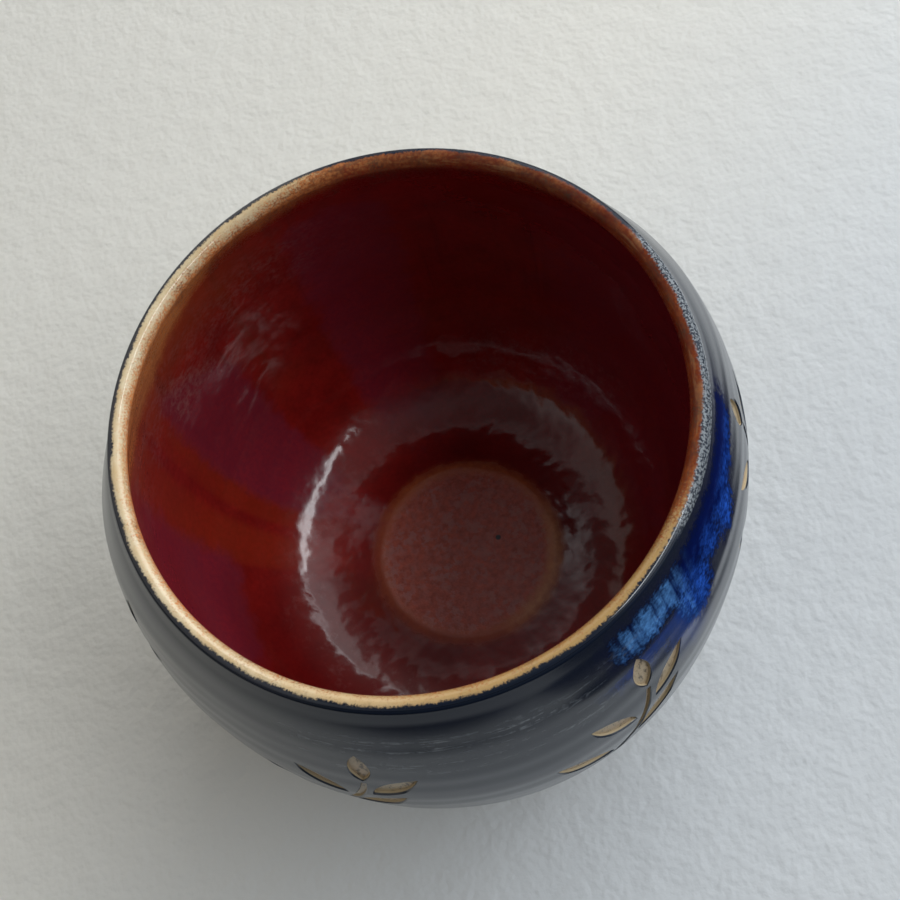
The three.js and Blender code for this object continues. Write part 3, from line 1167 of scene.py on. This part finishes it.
def floor_material():
    """Pale matt paint with a faint roller texture, and painted shade: cooler and darker towards
    its near right corner.
    """
    b = Coat("Pale floor")
    cloud = b.noise(0.02, 2)
    x, y, _ = b.parts(b.millimetres())
    # Painted shade: cooler and darker towards the near right
    near = x * 0.52 + y * -0.85
    base = b.mix(near.ramp(-60, 60), "floor", "cool_floor")
    return b.shaded(
        Base_Color=b.mix(cloud * 0.06, base, "scratch"),
        Roughness=0.6 + cloud * 0.1,
        Normal=skin(b, Size=5, Depth=0.40, Fine=0.3),
    )


# Liner patches, read as: azimuth and half its width in degrees, lower and upper height in
# millimetres, how much the upper edge rises for each degree round, and strength
Patch = namedtuple("Patch", "azimuth half low high rise strength")

PURPLE = (
    Patch(10, 34, 12, 72, 0, 0.75),
    Patch(86, 13, 12, 69, 0, 0.8),
    Patch(131, 11, 12, 54, 0.8, 1.0),
    Patch(175, 15, 22, 66, -0.6, 1.0),
    Patch(340, 40, 12, 70, 0, 0.6),
)
ORANGE = (
    Patch(144, 4, 12, 72, 0, 0.8),
    Patch(156, 6, 12, 74, 0, 0.9),
    Patch(112, 6, 25, 70, 0, 0.5),
)
MILK = (
    Patch(130, 11, 47, 58, 0.9, 0.70),
    Patch(105, 18, 52, 68, 0, 0.35),
    Patch(41, 6, 61, 69, 0, 0.50),
    Patch(42, 30, 14, 25, 0, 0.60),
)


def patches(spots, azimuth, height):
    """Strength of the strongest of some patches at each place, with soft edges."""
    strongest = np.zeros(len(azimuth))
    for spot in spots:
        side = apart(azimuth, spot.azimuth)
        across = 1 - smooth(np.abs(side), spot.half * 0.6, spot.half * 1.4)
        from_low = smooth(height, spot.low - 4, spot.low + 4)
        to_high = 1 - smooth(height - spot.rise * side, spot.high - 5, spot.high + 5)
        strongest = np.maximum(strongest, across * from_low * to_high * spot.strength)
    return strongest


def mark_patches(piece):
    _, azimuth, height = places(piece)
    for name, spots in (("purple", PURPLE), ("orange", ORANGE), ("milk", MILK)):
        store(piece, name, patches(spots, azimuth, height / MM))


def mark_pour(piece):
    """Stores how far each point lies inside the pour's outline, in millimetres, or outside it."""
    radius, azimuth, height = places(piece)
    side = np.radians(apart(azimuth, math.degrees(coats().pour_azimuth)))
    x = np.where(np.abs(side) < UP, radius * np.sin(side), FAR)
    y = height - coats().pour_top
    outline = pour_outline()
    nearest = np.full(len(x), FAR)
    inside = np.zeros(len(x), dtype=bool)
    for a, b in zip(outline, outline[1:] + outline[:1]):
        edge = b - a
        ahead = (x - a.x) * edge.x + (y - a.y) * edge.y
        part = np.clip(ahead / max(edge.length_squared, NOTHING), 0, 1)
        nearest = np.minimum(nearest, np.hypot(x - a.x - part * edge.x, y - a.y - part * edge.y))
        if a.y != b.y:
            crosses = (a.y > y) != (b.y > y)
            inside ^= crosses & (x < a.x + (y - a.y) / edge.y * edge.x)
    store(piece, "pour", np.where(inside, nearest, -nearest) / MM)


def mark_depth(piece):
    """Stores how far each point stands out from the clay's outside, in millimetres."""
    radius, _, height = places(piece)
    heights = np.linspace(shape().foot_height, lip_base(), num=200)
    radii = np.array([wall_radius(each, outside_wall()) for each in heights])
    slope = np.interp(height, heights, np.gradient(radii, heights))
    store(piece, "depth", (radius - np.interp(height, heights, radii)) / np.hypot(1, slope) / MM)


# Where the belly isn't round: azimuth and half its width in degrees, and how far it swells
Swell = namedtuple("Swell", "azimuth half depth")
SWELLS = (Swell(172, 44, 1.4 * MM), Swell(18, 46, 1.1 * MM), Swell(311, 50, -1.2 * MM))


def leave_round(piece):
    """Moves a piece's points with the belly, which the potter's hands left a little out of round."""
    radius, azimuth, height = places(piece)
    out = np.zeros(len(radius))
    for swell in SWELLS:
        side = np.abs(apart(azimuth, swell.azimuth))
        out += swell.depth * (1 - smooth(side, 0, swell.half))
    belly = between(height, 14 * MM, 44 * MM, 67 * MM, shape().clay_height)
    points = coordinates(piece)
    points[:, :2] *= (1 + out * belly / np.maximum(radius, MM))[:, None]
    piece.data.vertices.foreach_set("co", points.ravel())
    piece.data.update()


# Pieces

class ClayBody(bpy.types.Operator):
    """Turn the clay body: foot ring, wall, lip, bowl and the pad in its floor."""

    bl_idname = "cup.clay_body"
    bl_label = "Clay body"

    def execute(self, context):
        s = shape()
        foot_inner = s.foot_radius - s.foot_ring_width
        soft = s.foot_chamfer
        corners = (
            (0, s.foot_hollow), (foot_inner - soft, s.foot_hollow), (foot_inner, s.foot_hollow - soft),
            (foot_inner, soft), (foot_inner + soft * 0.3, soft * 0.3), (foot_inner + soft, 0),
            (s.foot_radius - soft, 0), (s.foot_radius - soft * 0.3, soft * 0.3), (s.foot_radius, soft),
        )
        wall = outside_wall()
        bowl = inside_wall()
        line = [Vector(corner) for corner in corners]
        line += thinned(under_belly(wall, s.foot_height, steps=70), 2)
        line += thinned(wall_points(wall, s.belly_height, lip_base(), steps=52)[1:], 2)
        line += lip_points(0, math.pi, steps=12)[1:-1]
        line += thinned(wall_points(bowl, s.belly_height, lip_base(), steps=30)[::-1], 2)
        line += thinned(under_belly(bowl, bowl.foot_height, steps=50)[::-1][1:], 2)
        line += red_lines()[0][-PAD_POINTS:]
        piece = turned("clay_body_fired", line, shape().around // 2)
        seated(piece, "clay_body", clay_material())
        return {"FINISHED"}


class LinerGlaze(bpy.types.Operator):
    """Pour the red liner: a glass coat from under the lip, pooled round the pad."""

    bl_idname = "cup.liner_glaze"
    bl_label = "Liner glaze"

    def execute(self, context):
        clay, face = red_lines()
        back = thinned(clay[:-PAD_POINTS], 10) + clay[-PAD_POINTS:]
        piece = turned("liner_glass", back[::-1] + face, shape().around)
        mark_patches(piece)
        _, _, height = places(piece)
        top = shape().clay_height - coats().rim_band
        fade = on_face(piece, face) * (1 - smooth(height, top - 8 * MM, top))
        roughen(piece, "Liner swell", fade, size=7 * MM, depth=coats().ripple)
        roughen(piece, "Liner ripple", fade, size=2.2 * MM, depth=coats().ripple * 0.15)
        seated(piece, "liner_glaze", liner_material())
        return {"FINISHED"}


def on_face(piece, face):
    """1 for each point of a piece that lies on the outer face of its coat, and 0 for the rest."""
    radius, _, height = places(piece)
    nearest = np.full(len(radius), FAR)
    for point in face:
        nearest = np.minimum(nearest, np.hypot(radius - point.x, height - point.y))
    touching = 0.02 * MM
    return (nearest < touching).astype(float)


class RimGlaze(bpy.types.Operator):
    """Dip the lip: a cream coat over it, down to the liner."""

    bl_idname = "cup.rim_glaze"
    bl_label = "Rim glaze"

    def execute(self, context):
        clay, face = cream_lines()
        piece = turned("rim_glass", face + thinned(clay, 2)[::-1] + face[:1], shape().around)
        mark_patches(piece)
        mark_pour(piece)
        mark_depth(piece)
        seated(piece, "rim_glaze", rim_material())
        return {"FINISHED"}


def whole_black_coat(name):
    """The outside coat before anything is cut in it. Its mesh is made once and copied."""
    kept = bpy.data.meshes.get("Whole black coat")
    if kept:
        piece = bpy.data.objects.new(name, kept.copy())
        piece.data.name = name
        bpy.context.collection.objects.link(piece)
        return piece
    clay, face = black_lines()
    sunk = -0.05 * MM
    back = thinned(pushed_out(clay, lambda part: sunk if 0 < part < 1 else 0), 5)
    piece = turned(name, face + back[::-1] + face[:1], shape().around)
    _, _, height = places(piece)
    fade = on_face(piece, face) * between(height, coats().glaze_line, 16 * MM, 66 * MM, 74 * MM)
    roughen(piece, "Coat swell", fade, size=14 * MM, depth=0.16 * MM)
    kept = piece.data.copy()
    kept.name = "Whole black coat"
    return piece


class OuterGlaze(bpy.types.Operator):
    """Coat the outside in black, carve leaf sprays through to the clay and leave room for the pour."""

    bl_idname = "cup.outer_glaze"
    bl_label = "Outer glaze"

    def execute(self, context):
        piece = whole_black_coat("black_glass")
        carve(piece, cutting_tool("Spray cutters", spray_cuts()), "DIFFERENCE")
        carve(piece, cutting_tool("Pour cutter", pour_cut()), "DIFFERENCE")
        mark_pour(piece)
        mark_depth(piece)
        seated(piece, "outer_glaze", outside_material("Black glass"))
        return {"FINISHED"}


class BluePour(bpy.types.Operator):
    """Pour the blue: a band under the rim with lobes that run down, flush in the black coat."""

    bl_idname = "cup.blue_pour"
    bl_label = "Blue pour"

    def execute(self, context):
        piece = whole_black_coat("blue_glass")
        carve(piece, cutting_tool("Pour cutter", pour_cut()), "INTERSECT")
        mark_pour(piece)
        mark_depth(piece)
        seated(piece, "blue_glaze_run", outside_material("Blue glass pour"))
        return {"FINISHED"}


# Studio

CAMERA_PLACE = (0, -67.37 * MM, 218.6 * MM)
CAMERA_TURN = (22.706, -1.324, -25.449)
CAMERA_LENS = 48
CAMERA_SENSOR = 36
CAMERA_NEAR = 0.01

# The floor is a ledge: its edges to the left, right, near and far as the picture has them, and
# how far it is turned in degrees
LEDGE = (-300 * MM, 80 * MM, -136 * MM, 300 * MM)
LEDGE_TURN = -31.6

# Lamps, read as: azimuth and elevation in degrees, then distance, width and height, then power
# in watts and colour
Lamp = namedtuple("Lamp", "azimuth elevation distance width height power tint")
LAMPS = {
    "Window": Lamp(-24, 56, 0.8, 0.60, 0.11, 1.6, (0.95, 0.98, 1.0)),
    "Room": Lamp(36, 36, 0.55, 0.50, 0.36, 1.2, (0.93, 0.97, 1.0)),
}
LAMP_TARGET = Vector((0, 0, 50 * MM))

# Dark places of the room, which the glazes mirror, read as: azimuth and elevation of the middle,
# how far the dark core and the whole place reach from it, all in degrees, and the light left
Dark = namedtuple("Dark", "azimuth elevation core edge left")
DARK_PLACES = (
    Dark(-98, 5, 30, 65, 0.15),
    Dark(-98, 70, 22, 44, 0.17),
    Dark(135, 62, 8, 32, 0.50),
    Dark(90, 57, 16, 17.9, 0.15),
)
WARM_LIGHT = (1.0, 0.93, 0.82, 1)
COOL_LIGHT = (0.88, 0.95, 1.0, 1)


def toward(azimuth, elevation):
    """A direction from the cup, by its azimuth and elevation in degrees."""
    a = math.radians(azimuth)
    e = math.radians(elevation)
    return Vector((math.cos(a) * math.cos(e), math.sin(a) * math.cos(e), math.sin(e)))


def add_lamp(name, lamp):
    """Adds a rectangular lamp that points at the cup's middle."""
    place = toward(lamp.azimuth, lamp.elevation) * lamp.distance
    turn = (LAMP_TARGET - place).to_track_quat("-Z", "Y").to_euler()
    bpy.ops.object.light_add(type="AREA", location=place, rotation=turn)
    made = bpy.context.object
    made.name = name
    made.data.shape = "RECTANGLE"
    made.data.size = lamp.width
    made.data.size_y = lamp.height
    made.data.energy = lamp.power
    made.data.color = lamp.tint


def studio_world():
    """Soft light from all round: brighter to the right, darker on the viewer's side and high at
    the back."""
    world = bpy.data.worlds.new("Soft room")
    bpy.context.scene.world = world
    world.use_nodes = True
    b = Board(world.node_tree)
    way = b.put("ShaderNodeTexCoord").outputs["Generated"]

    def cosine(azimuth, elevation):
        """Cosine of the angle between the way looked and a direction."""
        feeds = {0: way, 1: toward(azimuth, elevation)}
        made = b.put("ShaderNodeVectorMath", feeds, operation="DOT_PRODUCT")
        return Mask(b, made.outputs["Value"])

    strength = cosine(0, 45).ramp(-0.5, 1, 0.44, 1.37)
    for dark in DARK_PLACES:
        core = math.cos(math.radians(dark.core))
        edge = math.cos(math.radians(dark.edge))
        strength = strength * cosine(dark.azimuth, dark.elevation).ramp(edge, core, 1, dark.left)
    _, _, height = b.parts(way)
    strength = strength * height.ramp(-0.20, 0, 0.10, 1)
    tint = b.mix(cosine(-50, 30).ramp(-0.6, 0.8), WARM_LIGHT, COOL_LIGHT)
    shade = b.put("ShaderNodeBackground", {"Color": tint, "Strength": strength})
    b.put("ShaderNodeOutputWorld", {"Surface": shade.outputs[0]})


class Stage(bpy.types.Operator):
    """Set up the camera, the soft light and the pale floor."""

    bl_idname = "cup.stage"
    bl_label = "Camera, light and floor"

    def execute(self, context):
        bpy.ops.object.select_all(action="DESELECT")
        bpy.ops.object.camera_add(location=CAMERA_PLACE)
        camera = bpy.context.object
        camera.name = "Camera"
        camera.rotation_mode = "ZYX"
        camera.rotation_euler = Euler([math.radians(each) for each in CAMERA_TURN], "ZYX")
        camera.data.lens = CAMERA_LENS
        camera.data.sensor_width = CAMERA_SENSOR
        camera.data.clip_start = CAMERA_NEAR
        context.scene.camera = camera

        left, right, near, far = LEDGE
        turn = math.radians(LEDGE_TURN)
        middle = Vector(((left + right) / 2, (near + far) / 2))
        middle.rotate(Matrix.Rotation(turn, 2))
        bpy.ops.mesh.primitive_plane_add(
            size=1, location=(middle.x, middle.y, 0), rotation=(0, 0, turn)
        )
        floor = bpy.context.object
        floor.scale = (right - left, far - near, 1)
        bpy.ops.object.transform_apply(location=True, rotation=True, scale=True)
        floor.name = "Floor"
        floor.data.materials.append(floor_material())

        for name, lamp in LAMPS.items():
            add_lamp(name, lamp)
        studio_world()
        context.scene.view_settings.view_transform = "Standard"
        return {"FINISHED"}


class CupPanel(bpy.types.Panel):
    """Lists the cup's pieces in the order that they are made."""

    bl_label = "Cup"
    bl_idname = "VIEW3D_PT_cup"
    bl_space_type = "VIEW_3D"
    bl_region_type = "UI"
    bl_category = "Cup"

    def draw(self, context):
        for step in STEPS:
            self.layout.operator(step.bl_idname)
        for group in (context.scene.cup_shape, context.scene.cup_coats, context.scene.cup_colours):
            for name in group.__annotations__:
                self.layout.prop(group, name)


STEPS = (Stage, ClayBody, LinerGlaze, RimGlaze, OuterGlaze, BluePour)
SETTINGS = {"cup_shape": CupShape, "cup_coats": CupCoats, "cup_colours": CupColours}


def register():
    for each in (*SETTINGS.values(), *STEPS, CupPanel):
        bpy.utils.register_class(each)
    for name, group in SETTINGS.items():
        setattr(bpy.types.Scene, name, PointerProperty(type=group))


def unregister():
    for name in SETTINGS:
        delattr(bpy.types.Scene, name)
    for each in (CupPanel, *STEPS[::-1], *SETTINGS.values()):
        bpy.utils.unregister_class(each)


def main():
    register()
    for step in STEPS:
        family, name = step.bl_idname.split(".")
        getattr(getattr(bpy.ops, family), name)()


if __name__ == "__main__":
    main()
